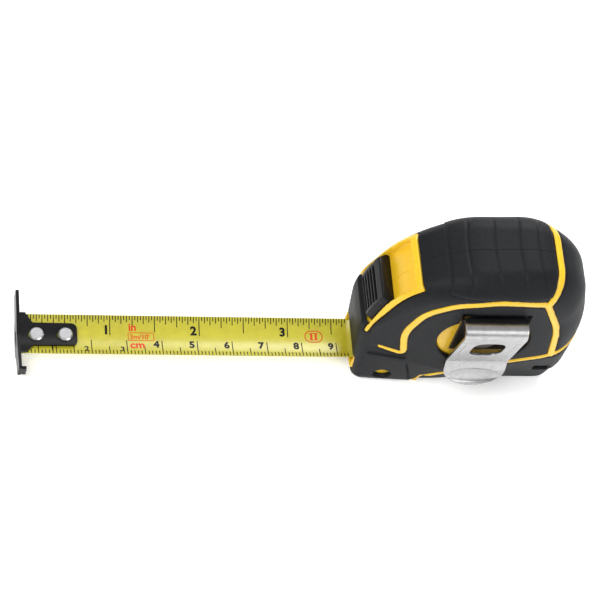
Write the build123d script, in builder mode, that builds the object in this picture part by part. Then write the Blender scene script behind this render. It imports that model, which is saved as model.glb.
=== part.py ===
from build123d import *
import os
from math import cos, radians, sin, sqrt

# Pocket tape measure, 3 m by 12.7 mm, with an overmoulded case, a sliding blade lock and a belt clip.
# Millimetres.  The origin is the centre of the flat base, +X points to the back of the case, +Z is up.
# The blade leaves the case towards -X.  The belt clip is on the -Y side and the round badge on +Y.

# Case, measured over the rubber
CASE_FRONT = -33.9      # foremost corner of the side outline, before it is rounded
CASE_REAR = 31.4        # rearmost corner of the side outline, before it is rounded
CASE_TOP = 59.2         # highest corner of the side outline, before it is rounded
CASE_HALF = 13.0        # half the width across the side faces
SHOULDER = 7.0          # rounding from the side faces to the rim
NOSE_HALF = 9.4         # half the width of the nose
FOOT_HALF = 9.4         # half the width of the foot under the case
SKIN = 1.4              # thickness of the rubber over the hard shell
ROOM_HALF = 9.7         # half the width of the room for the reel
STRIPE = 2.0            # width of the raised stripes of the hard shell

# Blade, reel and arbor
BLADE_WIDTH = 12.2      # across the curved blade
BLADE_THICK = 0.2
BLADE_CURVE = 13.0      # radius of the blade's hollow upper face
BLADE_Z = 5.0           # underside of the blade at its middle
BLADE_OUT = 93.2        # blade outside the case, from the hook's inner face to the rubber stop
HOOK_GAP = 0.1          # left between the hook and the stop when the blade is home
HOOK_FLOAT = 0.8        # free play of the hook on its rivets
COIL_IN = 12.6          # inner radius of the wound blade
COIL_OUT = 17.6         # outer radius of the wound blade
COIL_TURNS = 9
SPRING_IN = 4.2
SPRING_OUT = 11.4
SPRING_TURNS = 7
ARBOR_R = 3.5
REEL_X, REEL_Z = 0.5, 30.0
FLANGE = 1.2            # thickness of each reel flange
DRUM_WALL = 0.5
RUN_FIT = 0.05          # running clearance of the reel on the arbor
HOOK_LONG = 16.0        # length of the hook along the blade
FREE = 0.4              # clearance between parts that only pass each other

# Lock, which slides along an arc round the case's front
LOCK_X, LOCK_Z = 1.0, 28.0
LOCK_FLOOR = 30.4       # radius of the floor that the button slides on
LOCK_TOP = 34.3         # radius of the button's upper face
LOCK_HALF = 7.5         # half the width of the button
LOCK_LOW, LOCK_HIGH = 3.5, 24.8     # the button's ends, degrees above the arc's front
LOCK_TRAVEL = 15.0      # degrees from locked to free
LOCK_ROOM = 27.4        # inner radius of the wall that the carrier slides under
FRAME_RIM = 1.1         # rim of the hard shell beside the button's recess

# Round window, badge, belt clip and screws
WINDOW_R = 13.5
CLIP_WIDTH = 17.8
CLIP_X = 0.9            # middle of the clip
CLIP_SHEET = 0.7
CLIP_BEND = 2.9         # radius of the clip's fold, at the middle of the sheet
CLIP_TOP_Z = 40.2       # height of the fold's centre
SCREW_R = 1.25
SCREW_HEAD_R = 2.2
SCREW_HEAD = 1.6        # height of a case screw's head
CASE_SCREWS = [(19.7, 46.8, 11.4), (24.5, 18.2, 10.6), (-27.5, 14.0, 7.6)]  # X, Z and Y of the head's top
CLIP_HEAD_R = 3.4

FAR = 80.0              # beyond the case on every side


def outline(inset):
    """Side outline of the case, open below the base so that its rounding runs straight off the end."""
    lean_front, lean_rear = -0.0967, 0.2
    corners = [
        (CASE_FRONT - lean_front * 50, -20), (CASE_FRONT, 30), (CASE_FRONT + 8.2, CASE_TOP - 9),
        (CASE_FRONT + 23.9, CASE_TOP - 1.2), (CASE_REAR - 16.2, CASE_TOP), (CASE_REAR - 4.4, CASE_TOP - 7.4),
        (CASE_REAR, 33), (CASE_REAR - lean_rear * 53, -20),
    ]
    with BuildSketch(Plane.XZ) as side:
        with BuildLine():
            FilletPolyline(*corners, radius=[25, 26, 32, 25, 14, 50])
            Line(corners[-1], corners[0])
        make_face()
        if inset:
            offset(amount=-inset)
    return side.sketch


def block(inset):
    """The case as one body: outline, rounded shoulders, tapered nose and narrow foot, all set in."""
    with BuildPart() as body:
        add(outline(inset))
        extrude(amount=CASE_HALF - inset, dir=(0, 1, 0), both=True)
        rims = body.faces().filter_by(Axis.Y).edges().filter_by(lambda e: e.center().Z > -20 + inset + 0.5)
        fillet(rims, SHOULDER - inset)
        with BuildSketch(Plane.XY.offset(inset)):
            with BuildLine():
                Polyline(
                    (CASE_REAR + 5, -CASE_HALF), (-8, -CASE_HALF), (-20, -NOSE_HALF - 1.2),
                    (CASE_FRONT + 4.5, -NOSE_HALF), (CASE_FRONT - 0.5, -NOSE_HALF + 3.4),
                    (CASE_FRONT - 0.5, NOSE_HALF - 3.4), (CASE_FRONT + 4.5, NOSE_HALF),
                    (-20, NOSE_HALF + 1.2), (-8, CASE_HALF), (CASE_REAR + 5, CASE_HALF), close=True,
                )
            make_face()
            offset(amount=-inset)
        extrude(amount=FAR, mode=Mode.INTERSECT)
        with BuildSketch(Plane.XZ):
            with BuildLine():
                Polyline((-12 - inset, -1), (-12 - inset, 5.5 + inset), (FAR, 17.3 + inset), (FAR, -1), close=True)
            make_face()
        foot_sides = extrude(amount=FAR, both=True, mode=Mode.PRIVATE)
        with BuildSketch(Plane.XY):
            Rectangle(2 * FAR, 2 * (FOOT_HALF - inset))
        keep = extrude(amount=FAR, both=True, mode=Mode.PRIVATE)
        add(foot_sides - keep, mode=Mode.SUBTRACT)
    return body.part


def stripe(points, radii):
    """A stripe's path in the side view, given its width and carried right through the case."""
    with BuildPart() as bar:
        with BuildSketch(Plane.XZ):
            with BuildLine():
                FilletPolyline(*points, radius=radii)
            trace(line_width=STRIPE)
        extrude(amount=FAR, both=True)
    return bar.part


def disc(x, z, radius, y_from, y_to):
    """A round bar across the case."""
    with BuildPart() as bar:
        with BuildSketch(Plane.XZ.offset(-y_to)):
            with Locations((x, z)):
                Circle(radius)
        extrude(amount=y_to - y_from)
    return bar.part


def on_arc(radius, angle):
    """A point of the side view at some degrees above the front of the lock's arc."""
    return (LOCK_X - radius * cos(radians(angle)), LOCK_Z + radius * sin(radians(angle)))


def arc_band(inner, outer, low, high, half_width):
    """A sector of a ring round the lock's axis, carried across the case."""
    middle = (low + high) / 2
    with BuildPart() as band:
        with BuildSketch(Plane.XZ):
            with BuildLine():
                ThreePointArc(on_arc(outer, low), on_arc(outer, middle), on_arc(outer, high))
                Line(on_arc(outer, high), on_arc(inner, high))
                ThreePointArc(on_arc(inner, high), on_arc(inner, middle), on_arc(inner, low))
                Line(on_arc(inner, low), on_arc(outer, low))
            make_face()
        extrude(amount=half_width, both=True)
    return band.part


def bar(x_from, x_to, half_width, z_from, z_to):
    """A square block across the case."""
    with BuildPart() as brick:
        with Locations(((x_from + x_to) / 2, 0, (z_from + z_to) / 2)):
            Box(x_to - x_from, 2 * half_width, z_to - z_from)
    return brick.part


def spiral(inner, outer, turns, thickness, half_width):
    """A wound strip: half circles whose radius grows by half a pitch at each half turn."""
    pitch = (outer - inner) / turns
    with BuildPart() as wound:
        with BuildSketch(Plane.XZ):
            with BuildLine():
                at, side = REEL_X + inner + thickness / 2, 1
                for half_turn in range(2 * turns):
                    reach = 2 * inner + thickness + pitch * (half_turn + 0.5)
                    end = at - side * reach
                    ThreePointArc((at, REEL_Z), ((at + end) / 2, REEL_Z + side * reach / 2), (end, REEL_Z))
                    at, side = end, -side
            trace(line_width=thickness)
        extrude(amount=half_width, both=True)
    return wound.part


os.makedirs("parts", exist_ok=True)

# Sizes that follow from the ones above
STOP_FRONT, STOP_BACK = CASE_FRONT + 1.6, CASE_FRONT + 3.3
HOOK_X = STOP_FRONT - BLADE_OUT                   # inner face of the hook
BLADE_TRAVEL = BLADE_OUT - HOOK_FLOAT - HOOK_GAP  # how far the blade runs home
LIP_X = CASE_FRONT + 2.1                          # face of the hard lip round the mouth
SLOT_HALF = BLADE_WIDTH / 2 + 1.15
SLOT_LOW = BLADE_Z - 1.4
SLOT_HIGH = BLADE_Z + 4.2
LIP_HALF = SLOT_HALF + 0.75
STOP_HALF, STOP_LOW, STOP_HIGH = 6.0, 0.7, SLOT_LOW - 0.9
RUN_Z = BLADE_Z - 0.1                             # upper face of the blade inside the case
FLANGE_R = COIL_OUT + 1.6
ROOM_R = FLANGE_R + 1.0
REEL_HALF = BLADE_WIDTH / 2 + 0.5
CORE_HALF = CASE_HALF - SKIN
CARRIER_OUT = LOCK_ROOM - FREE
CARRIER_IN = CARRIER_OUT - 2.4
RECESS_HALF = LOCK_HALF + FREE
FRAME_HALF = RECESS_HALF + FRAME_RIM
RECESS_HIGH = LOCK_HIGH + LOCK_TRAVEL + 5.2

# The blade inside the case bends up on one arc from the mouth until it meets the coil from below
RUN_START = HOOK_X + BLADE_TRAVEL + HOOK_FLOAT + HOOK_LONG + FREE
COIL_FREE = COIL_OUT + FREE
rise = REEL_X - RUN_START
drop = REEL_Z - RUN_Z
RUN_R = (rise ** 2 + drop ** 2 - COIL_FREE ** 2) / (2 * (drop - COIL_FREE))
to_coil = (rise / (RUN_R - COIL_FREE), (drop - RUN_R) / (RUN_R - COIL_FREE))
RUN_END = (REEL_X + COIL_FREE * to_coil[0], REEL_Z + COIL_FREE * to_coil[1])


def run_height(x):
    """Height of the upper face of the blade inside the case."""
    return RUN_Z + RUN_R - sqrt(RUN_R ** 2 - (x - RUN_START) ** 2)


# Hard shell and rubber come from the same body: the shell is the body without the rubber areas
outer = block(0)
core = block(SKIN)
arch = stripe(
    [(CASE_FRONT - 3, 23.3), (-27, 20.5), (-19.7, 18.2), (-22, 30), (-18.5, 42), (-11, 49), (-0.2, 51.7),
     (13.5, 51), (20, 37), (21.9, 22.5)],
    [8, 1.5, 20, 14, 12, 20, 3, 30],
)
over_top = stripe([(14.2, 51), (17.2, 57), (19, CASE_TOP + 4)], [6])
foot_line = stripe(
    [(-12.8, -2), (-10.3, 4.5), (-6.5, 8), (10, 16.5), (19.5, 20), (22.5, 22.5), (27, 25.2), (CASE_REAR + 4, 28)],
    [5, 6, 20, 12, 12, 12],
)
recess_frame = arc_band(1, FAR, -0.6, RECESS_HIGH + 1.6, FRAME_HALF)
window = disc(REEL_X, REEL_Z, WINDOW_R, -FAR, FAR)
clip_pocket = bar(CLIP_X - CLIP_WIDTH / 2 - 0.9, CLIP_X + CLIP_WIDTH / 2 + 0.9, FAR, 36, 45.5) - bar(
    -FAR, FAR, CORE_HALF - 0.01, 30, 50)
clip_pocket = clip_pocket & (Pos(0, -FAR / 2, 0) * Box(2 * FAR, FAR, 2 * FAR))
mouth_lip = bar(-FAR, LIP_X + 6, LIP_HALF, SLOT_LOW - 0.7, SLOT_HIGH + 0.7)
stop_pocket = bar(-FAR, STOP_BACK, STOP_HALF, STOP_LOW, STOP_HIGH)
pin_hole = disc(-23, 5.3, 2.5, -FAR, 0)
with BuildPart() as lanyard_slot:
    with BuildSketch(Plane.XZ):
        with BuildLine():
            FilletPolyline((19.6, 8.2), (24.6, 8.2), (25.6, 13.8), (19.8, 13.4), radius=0.8, close=True)
        make_face()
    extrude(amount=FAR, both=True)
slot_cut = lanyard_slot.part

rubber = outer - core - arch - over_top - foot_line - recess_frame - window - clip_pocket
rubber = rubber - mouth_lip - stop_pocket - pin_hole - slot_cut
for x, z, top in CASE_SCREWS:
    rubber = rubber - disc(x, z, SCREW_HEAD_R + 0.4, 0, FAR)


def rubber_at(x, y, z):
    """The piece of rubber nearest to a point."""
    return rubber.solids().sort_by_distance((x, y, z))[0]


# Hard shell halves, moulded in yellow plastic, parted at the middle of the case
hollow = disc(REEL_X, REEL_Z, ROOM_R, -ROOM_HALF, ROOM_HALF)
lock_room = disc(LOCK_X, LOCK_Z, LOCK_ROOM, -SLOT_HALF, SLOT_HALF) & bar(-FAR, REEL_X + 4.5, FAR, SLOT_LOW, FAR)
blade_way = bar(-FAR, -12, SLOT_HALF, SLOT_LOW, SLOT_HIGH)
lip_cut = bar(-FAR, LIP_X, LIP_HALF, SLOT_LOW - 0.7, SLOT_HIGH + 0.7)
recess = arc_band(LOCK_FLOOR - 0.2, FAR, 0.6, RECESS_HIGH, RECESS_HALF)
stem_slot = arc_band(LOCK_ROOM - 1, LOCK_FLOOR + 1, LOCK_LOW + 5, LOCK_HIGH + LOCK_TRAVEL - 5, 2.5 + FREE)
arbor_seat = disc(REEL_X, REEL_Z, ARBOR_R, -ROOM_HALF - 1, ROOM_HALF + 1)
clip_screw_hole = disc(REEL_X, REEL_Z, SCREW_R + 0.15, -FAR, -ROOM_HALF)
shell = core + (outer & (arch + over_top + foot_line + recess_frame + mouth_lip))
shell = shell - hollow - lock_room - blade_way - lip_cut - recess - stem_slot - arbor_seat
shell = shell - clip_screw_hole - slot_cut - stop_pocket
for x, z, top in CASE_SCREWS:
    shell = shell - disc(x, z, SCREW_R, -NOSE_HALF + 3, top) - disc(x, z, SCREW_HEAD_R + 0.15, top - SCREW_HEAD, FAR)

with BuildPart() as case_half_clip_side:
    add(shell)
    split(bisect_by=Plane.XZ, keep=Keep.TOP)
case_half_clip_side.part.label = "case_half_clip_side"
export_step(case_half_clip_side.part, "parts/case_half_clip_side.step")

with BuildPart() as case_half_badge_side:
    add(shell)
    split(bisect_by=Plane.XZ, keep=Keep.BOTTOM)
case_half_badge_side.part.label = "case_half_badge_side"
export_step(case_half_badge_side.part, "parts/case_half_badge_side.step")

# Rubber, moulded over the two halves before they are screwed together
for side_name, keep in (("clip_side", Keep.TOP), ("badge_side", Keep.BOTTOM)):
    for area, spot in (
        ("grip_pad", (0, 0, CASE_TOP)),
        ("rear_bumper", (CASE_REAR, 0, 42)),
        ("side_panel", (CASE_FRONT, 0, 14)),
    ):
        with BuildPart() as pad:
            add(rubber_at(*spot))
            split(bisect_by=Plane.XZ, keep=keep)
        pad.part.label = f"{area}_{side_name}"
        export_step(pad.part, f"parts/{area}_{side_name}.step")

with BuildPart() as base_foot:
    add(rubber_at(6, 0, 0))
base_foot.part.label = "base_foot"
export_step(base_foot.part, "parts/base_foot.step")

# Rubber stop under the mouth that the hook lands on
with BuildPart() as mouth_stop:
    add(bar(STOP_FRONT, STOP_BACK, STOP_HALF, STOP_LOW, STOP_HIGH))
    fillet(mouth_stop.edges().filter_by(Axis.X), 0.5)
mouth_stop.part.label = "mouth_stop"
export_step(mouth_stop.part, "parts/mouth_stop.step")

# Blank round badge, set in the window of the badge side
with BuildPart() as round_badge:
    with BuildSketch(Plane.XZ.offset(-CORE_HALF)):
        with Locations((REEL_X, REEL_Z)):
            Circle(WINDOW_R - FREE)
    extrude(amount=-(SKIN - 0.2))
    chamfer(round_badge.faces().sort_by(Axis.Y)[-1].edges(), 0.4)
round_badge.part.label = "round_badge"
export_step(round_badge.part, "parts/round_badge.step")

# Arbor: a post across the case, slotted for the inner end of the spring and drilled for the clip's screw
with BuildPart() as arbor_post:
    add(arbor_seat)
    with BuildSketch(Plane.XZ.offset(ROOM_HALF + 1)):
        with Locations((REEL_X, REEL_Z)):
            Circle(SCREW_R)
    extrude(amount=-ROOM_HALF, mode=Mode.SUBTRACT)
    with Locations((REEL_X, 1, REEL_Z + ARBOR_R)):
        Box(0.8, ROOM_HALF, 3, mode=Mode.SUBTRACT)
arbor_post.part.label = "arbor_post"
export_step(arbor_post.part, "parts/arbor_post.step")

# Reel: drum with one flange, and the loose flange that closes it
with BuildPart() as reel_drum:
    add(disc(REEL_X, REEL_Z, COIL_IN - 0.2, -REEL_HALF, REEL_HALF))
    add(disc(REEL_X, REEL_Z, COIL_IN - 0.2 - DRUM_WALL, -REEL_HALF, REEL_HALF), mode=Mode.SUBTRACT)
    add(disc(REEL_X, REEL_Z, FLANGE_R, REEL_HALF, REEL_HALF + FLANGE))
    add(disc(REEL_X, REEL_Z, ARBOR_R + RUN_FIT, -FAR, FAR), mode=Mode.SUBTRACT)
reel_drum.part.label = "reel_drum"
export_step(reel_drum.part, "parts/reel_drum.step")

with BuildPart() as reel_cover:
    add(disc(REEL_X, REEL_Z, FLANGE_R, -REEL_HALF - FLANGE, -REEL_HALF))
    add(disc(REEL_X, REEL_Z, ARBOR_R + RUN_FIT, -FAR, FAR), mode=Mode.SUBTRACT)
reel_cover.part.label = "reel_cover"
export_step(reel_cover.part, "parts/reel_cover.step")

with BuildPart() as blade_coil:
    add(spiral(COIL_IN, COIL_OUT, COIL_TURNS, BLADE_THICK * 1.5, BLADE_WIDTH / 2))
blade_coil.part.label = "blade_coil"
export_step(blade_coil.part, "parts/blade_coil.step")

with BuildPart() as power_spring:
    add(spiral(SPRING_IN, SPRING_OUT, SPRING_TURNS, 0.3, BLADE_WIDTH / 2 - 0.6))
power_spring.part.label = "power_spring"
export_step(power_spring.part, "parts/power_spring.step")

# Blade inside the case, flat, from the mouth to the coil
with BuildPart() as blade_inner_run:
    with BuildSketch(Plane.XZ):
        with BuildLine():
            start = (RUN_START, RUN_Z - BLADE_THICK / 2)
            Line((LIP_X + 1.8, RUN_Z - BLADE_THICK / 2), start)
            middle = (RUN_START + RUN_END[0]) / 2
            ThreePointArc(start, (middle, run_height(middle) - BLADE_THICK / 2), RUN_END)
        trace(line_width=BLADE_THICK)
    extrude(amount=BLADE_WIDTH / 2, both=True)
blade_inner_run.part.label = "blade_inner_run"
export_step(blade_inner_run.part, "parts/blade_inner_run.step")

# Blade outside the case: a long strip, hollow on top, with holes for the hook's rivets
RIVETS_X = (HOOK_X + 4.6, HOOK_X + 12.7)
RIVET_R = 1.5
with BuildPart() as blade_outer:
    with BuildSketch(Plane.YZ.offset(HOOK_X + 0.1)):
        with Locations((0, BLADE_Z + BLADE_THICK + BLADE_CURVE)):
            Circle(BLADE_CURVE + BLADE_THICK)
            Circle(BLADE_CURVE, mode=Mode.SUBTRACT)
        with Locations((0, BLADE_Z)):
            Rectangle(BLADE_WIDTH, 6, mode=Mode.INTERSECT)
    extrude(amount=LIP_X + 1.5 - HOOK_X)
    with Locations(*[(x, 0, BLADE_Z) for x in RIVETS_X]):
        Cylinder(RIVET_R, 3, mode=Mode.SUBTRACT)
blade_outer.part.label = "blade_outer"
export_step(blade_outer.part, "parts/blade_outer.step")

# End hook: a black steel angle, curved to the blade, slotted so that it floats on its rivets
HOOK_SHEET = 0.8
HOOK_LIFT = 0.12
plate_curve = BLADE_CURVE - HOOK_LIFT
with BuildPart() as end_hook:
    with BuildSketch(Plane.YZ.offset(HOOK_X)):
        with Locations((0, BLADE_Z + BLADE_THICK + BLADE_CURVE)):
            Circle(plate_curve)
            Circle(plate_curve - HOOK_SHEET, mode=Mode.SUBTRACT)
        with Locations((0, BLADE_Z)):
            Rectangle(BLADE_WIDTH, 6.5, mode=Mode.INTERSECT)
    extrude(amount=HOOK_LONG)
    with BuildSketch(Plane.XY):
        with BuildLine():
            Polyline(
                (HOOK_X, -6.1), (HOOK_X + 1.5, -6.1), (HOOK_X + 3.6, -3.5), (HOOK_X + HOOK_LONG, -3.4),
                (HOOK_X + HOOK_LONG, 3.4), (HOOK_X + 3.6, 3.5), (HOOK_X + 1.5, 6.1), (HOOK_X, 6.1), close=True,
            )
        make_face()
        fillet(vertices().group_by(Axis.X)[-1], 1.6)
    extrude(amount=30, mode=Mode.INTERSECT)
    with Locations(*[(x - HOOK_FLOAT / 2, 0, BLADE_Z + 1) for x in RIVETS_X]):
        Box(HOOK_FLOAT, 2 * RIVET_R + 0.1, 4, mode=Mode.SUBTRACT)
    for shift in (-HOOK_FLOAT, 0):
        with Locations(*[(x + shift, 0, BLADE_Z + 1) for x in RIVETS_X]):
            Cylinder(RIVET_R + 0.05, 4, mode=Mode.SUBTRACT)
    with BuildSketch(Plane.YZ.offset(HOOK_X)):
        with BuildLine():
            FilletPolyline(
                (-11.6, 8.3), (-6.4, 7.5), (0, 6.2), (6.4, 7.5), (13.2, 8.3), (13.2, 3.6), (6.5, 2.2), (4.0, 0.4),
                (-4.0, 0.4), (-6.5, 2.2), (-11.6, 3.6), radius=0.6, close=True,
            )
        make_face()
        with Locations((0, 3.2)):
            SlotOverall(5.0, 1.6, mode=Mode.SUBTRACT)
    extrude(amount=-0.9)
    with Locations((HOOK_X + 0.6, -11.15, 5.9)):
        Box(1.4, 0.9, 3.4)
end_hook.part.label = "end_hook"
export_step(end_hook.part, "parts/end_hook.step")

# Two domed rivets through the blade and the hook's slots
RIVET_TOP = BLADE_Z + BLADE_THICK + HOOK_LIFT + HOOK_SHEET + 0.15
with BuildPart() as hook_rivets:
    for x in RIVETS_X:
        with BuildSketch(Plane.XY.offset(BLADE_Z)):
            with Locations((x, 0)):
                Circle(RIVET_R)
        extrude(amount=RIVET_TOP - BLADE_Z)
        with BuildSketch(Plane.XY.offset(RIVET_TOP)):
            with Locations((x, 0)):
                Circle(2.05)
        extrude(amount=0.7)
    chamfer(hook_rivets.faces().group_by(Axis.Z)[-1].edges(), 0.35)
hook_rivets.part.label = "hook_rivets"
export_step(hook_rivets.part, "parts/hook_rivets.step")

# Lock: the ribbed button outside, the arm that it is pegged to inside, and the shoe that grips the blade
with BuildPart() as lock_button:
    add(arc_band(LOCK_FLOOR, LOCK_TOP, LOCK_LOW, LOCK_HIGH, LOCK_HALF))
    for groove in range(5):
        angle = LOCK_LOW + 2.2 + groove * 3.1
        add(arc_band(LOCK_TOP - 0.9, FAR / 2, angle, angle + 1.4, LOCK_HALF + 1), mode=Mode.SUBTRACT)
lock_button.part.label = "lock_button"
export_step(lock_button.part, "parts/lock_button.step")

# The shoe's lower front corner stays inside the wall that the carrier slides under
SHOE_FRONT = LOCK_X - sqrt(CARRIER_OUT ** 2 - (LOCK_Z - RUN_Z) ** 2)
SHOE_REAR = SHOE_FRONT + 4.5
SHOE_TOP = RUN_Z + 4.5
with BuildPart() as lock_carrier:
    add(arc_band(CARRIER_IN, CARRIER_OUT, -51, LOCK_HIGH - 6, 5.0))
    add(arc_band(CARRIER_OUT - 1, LOCK_FLOOR, LOCK_LOW + 6, LOCK_HIGH - 6, 2.5))
    with Locations((SHOE_REAR, 0, SHOE_TOP)):
        Box(8.0, 10.0, 1.8, align=(Align.MAX, Align.CENTER, Align.MIN))
lock_carrier.part.label = "lock_carrier"
export_step(lock_carrier.part, "parts/lock_carrier.step")

with BuildPart() as brake_shoe:
    with BuildSketch(Plane.XZ):
        with BuildLine():
            Polyline(
                (SHOE_FRONT, run_height(SHOE_FRONT) + 0.05), (SHOE_FRONT, SHOE_TOP), (SHOE_REAR, SHOE_TOP),
                (SHOE_REAR, run_height(SHOE_REAR) + 0.05), close=True,
            )
        make_face()
    extrude(amount=4.5, both=True)
brake_shoe.part.label = "brake_shoe"
export_step(brake_shoe.part, "parts/brake_shoe.step")

# Belt clip: one strip of spring steel folded over, held by the screw into the arbor
LEAF_Y = -CORE_HALF - CLIP_SHEET / 2
FOLD_Y = LEAF_Y - CLIP_BEND
TONGUE_Y = FOLD_Y - CLIP_BEND
with BuildPart() as belt_clip:
    with BuildSketch(Plane.YZ.offset(CLIP_X - CLIP_WIDTH / 2)):
        with BuildLine():
            Line((LEAF_Y, 24), (LEAF_Y, CLIP_TOP_Z))
            ThreePointArc((LEAF_Y, CLIP_TOP_Z), (FOLD_Y, CLIP_TOP_Z + CLIP_BEND), (TONGUE_Y, CLIP_TOP_Z))
            FilletPolyline((TONGUE_Y, CLIP_TOP_Z), (-CASE_HALF - 0.6, 19.6), (-CASE_HALF - 3.2, 12), radius=3)
        trace(line_width=CLIP_SHEET)
    extrude(amount=CLIP_WIDTH)
    with BuildSketch(Plane.XZ):
        with BuildLine():
            left, right = CLIP_X - CLIP_WIDTH / 2, CLIP_X + CLIP_WIDTH / 2
            Polyline(
                (left, 60), (left, 18), (left + 1.6, 14), (CLIP_X - 4, 11), (CLIP_X + 4, 11), (right - 1.6, 14),
                (right, 18), (right, 60), close=True,
            )
        make_face()
    extrude(amount=FAR, mode=Mode.INTERSECT)
    with BuildSketch(Plane.XZ.offset(CASE_HALF + 1.3)):
        with Locations((CLIP_X, 29.5)):
            RectangleRounded(8.8, 9.0, 2.5)
    extrude(amount=FAR, mode=Mode.SUBTRACT)
    add(disc(REEL_X, REEL_Z, SCREW_R + 0.15, -CORE_HALF - 1, 0), mode=Mode.SUBTRACT)
belt_clip.part.label = "belt_clip"
export_step(belt_clip.part, "parts/belt_clip.step")

with BuildPart() as clip_screw:
    add(disc(REEL_X, REEL_Z, SCREW_R, -CORE_HALF - CLIP_SHEET, -2))
    add(disc(REEL_X, REEL_Z, CLIP_HEAD_R, -CORE_HALF - CLIP_SHEET - 1.4, -CORE_HALF - CLIP_SHEET))
    fillet(clip_screw.faces().sort_by(Axis.Y)[0].edges(), 0.8)
clip_screw.part.label = "clip_screw"
export_step(clip_screw.part, "parts/clip_screw.step")

# Three screws hold the halves together, put in from the badge side
with BuildPart() as case_screws:
    for x, z, top in CASE_SCREWS:
        add(disc(x, z, SCREW_HEAD_R, top - SCREW_HEAD, top))
        add(disc(x, z, SCREW_R, -NOSE_HALF + 3.5, top - SCREW_HEAD))
case_screws.part.label = "case_screws"
export_step(case_screws.part, "parts/case_screws.step")

print("hook inner face X", round(HOOK_X, 3), "travel", round(BLADE_TRAVEL, 3), "run radius", round(RUN_R, 2))
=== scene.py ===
import bmesh
import bpy
import math
import numpy as np
from mathutils import Matrix, Vector


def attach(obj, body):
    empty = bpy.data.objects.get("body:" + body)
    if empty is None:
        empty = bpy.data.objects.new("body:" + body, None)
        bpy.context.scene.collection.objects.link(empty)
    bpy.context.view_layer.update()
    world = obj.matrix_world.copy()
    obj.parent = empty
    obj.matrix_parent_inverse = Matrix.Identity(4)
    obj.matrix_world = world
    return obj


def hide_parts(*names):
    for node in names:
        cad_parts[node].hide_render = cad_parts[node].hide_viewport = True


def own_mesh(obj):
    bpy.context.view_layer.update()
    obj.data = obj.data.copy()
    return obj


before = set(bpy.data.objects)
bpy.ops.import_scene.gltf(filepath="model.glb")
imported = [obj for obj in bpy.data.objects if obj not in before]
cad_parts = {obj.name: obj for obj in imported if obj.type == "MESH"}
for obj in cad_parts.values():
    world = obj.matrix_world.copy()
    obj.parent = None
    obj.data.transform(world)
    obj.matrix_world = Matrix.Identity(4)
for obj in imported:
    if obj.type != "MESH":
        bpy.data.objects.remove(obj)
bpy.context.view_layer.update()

# The view: a long lens above and in front of the case, looking down on the blade from the clip's side.
# The camera stands about 0.85 m away, so the tape is seen almost without perspective.
LENS_MM = 176.76
CAMERA_PLACE = (-0.215152, -0.382830, 0.728884)
camera_data = bpy.data.cameras.new("camera")
camera_data.lens = LENS_MM
camera_data.sensor_width = 36.0
camera = bpy.data.objects.new("camera", camera_data)
bpy.context.scene.collection.objects.link(camera)
right = Vector((0.97918, -0.08321, 0.18514))
down = Vector((0.01546, -0.87890, -0.47676))
forward = Vector((0.20239, 0.46970, -0.85932))
turn = Matrix((right, -down, -forward)).transposed()
camera.matrix_world = Matrix.Translation(CAMERA_PLACE) @ turn.to_4x4()
bpy.context.scene.camera = camera


# The room: a wide pale floor that fades into a pale surround, lit by large soft lamps.
# The key comes from the left and above, and a lamp behind draws the edges of the rubber.
def soft_lamp(name, place, target, size, watts, tint=(1, 1, 1)):
    """A square area lamp at one place, turned to face another."""
    lamp = bpy.data.lights.new(name, "AREA")
    lamp.shape, lamp.size, lamp.energy, lamp.color = "SQUARE", size, watts, tint
    holder = bpy.data.objects.new(name, lamp)
    holder.location = place
    holder.rotation_euler = (Vector(target) - Vector(place)).to_track_quat("-Z", "Y").to_euler()
    bpy.context.scene.collection.objects.link(holder)


soft_lamp("key", (-0.45, -0.25, 0.75), (-0.03, 0, 0.02), 0.5, 4.8)
soft_lamp("fill", (0.45, -0.6, 0.45), (0, 0, 0.03), 0.6, 2.2)
soft_lamp("back_strip", (0.25, 0.6, 0.5), (0, 0, 0.05), 0.4, 4.5)
bpy.context.scene.view_settings.view_transform = "Standard"

world = bpy.data.worlds.new("surround")
world.use_nodes = True
sky = world.node_tree.nodes["Background"]
sky.inputs["Strength"].default_value = 0.62
facing = world.node_tree.nodes.new("ShaderNodeTexCoord")
split = world.node_tree.nodes.new("ShaderNodeSeparateXYZ")
bands = world.node_tree.nodes.new("ShaderNodeValToRGB")
bands.color_ramp.elements[0].position, bands.color_ramp.elements[0].color = 0.0, (0.9, 0.9, 0.9, 1)
bands.color_ramp.elements[1].position, bands.color_ramp.elements[1].color = 1.0, (1.0, 1.0, 1.0, 1)
for place, grey in ((0.10, 0.85), (0.22, 0.22), (0.38, 0.30), (0.50, 1.0), (0.72, 1.05), (0.84, 0.5)):
    bands.color_ramp.elements.new(place).color = (grey, grey, grey, 1)
world.node_tree.links.new(facing.outputs["Generated"], split.inputs["Vector"])
world.node_tree.links.new(split.outputs["Z"], bands.inputs["Fac"])
world.node_tree.links.new(bands.outputs["Color"], sky.inputs["Color"])
bpy.context.scene.world = world

FLOOR_REACH = 6.0       # metres from the middle to each edge
floor_corners = [(x * FLOOR_REACH, y * FLOOR_REACH, 0) for x, y in ((-1, -1), (1, -1), (1, 1), (-1, 1))]
floor_mesh = bpy.data.meshes.new("floor")
floor_mesh.from_pydata(floor_corners, [], [(0, 1, 2, 3)])
floor = bpy.data.objects.new("floor", floor_mesh)
bpy.context.scene.collection.objects.link(floor)
floor_paint = bpy.data.materials.new("pale_floor")
floor_paint.use_nodes = True
floor_shader = floor_paint.node_tree.nodes["Principled BSDF"]
for socket, value in (("Base Color", (0.96, 0.96, 0.96, 1)), ("Roughness", 0.7),
                      ("Emission Color", (1, 1, 1, 1)), ("Emission Strength", 0.28)):
    floor_shader.inputs[socket].default_value = value
floor_mesh.materials.append(floor_paint)

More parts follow.
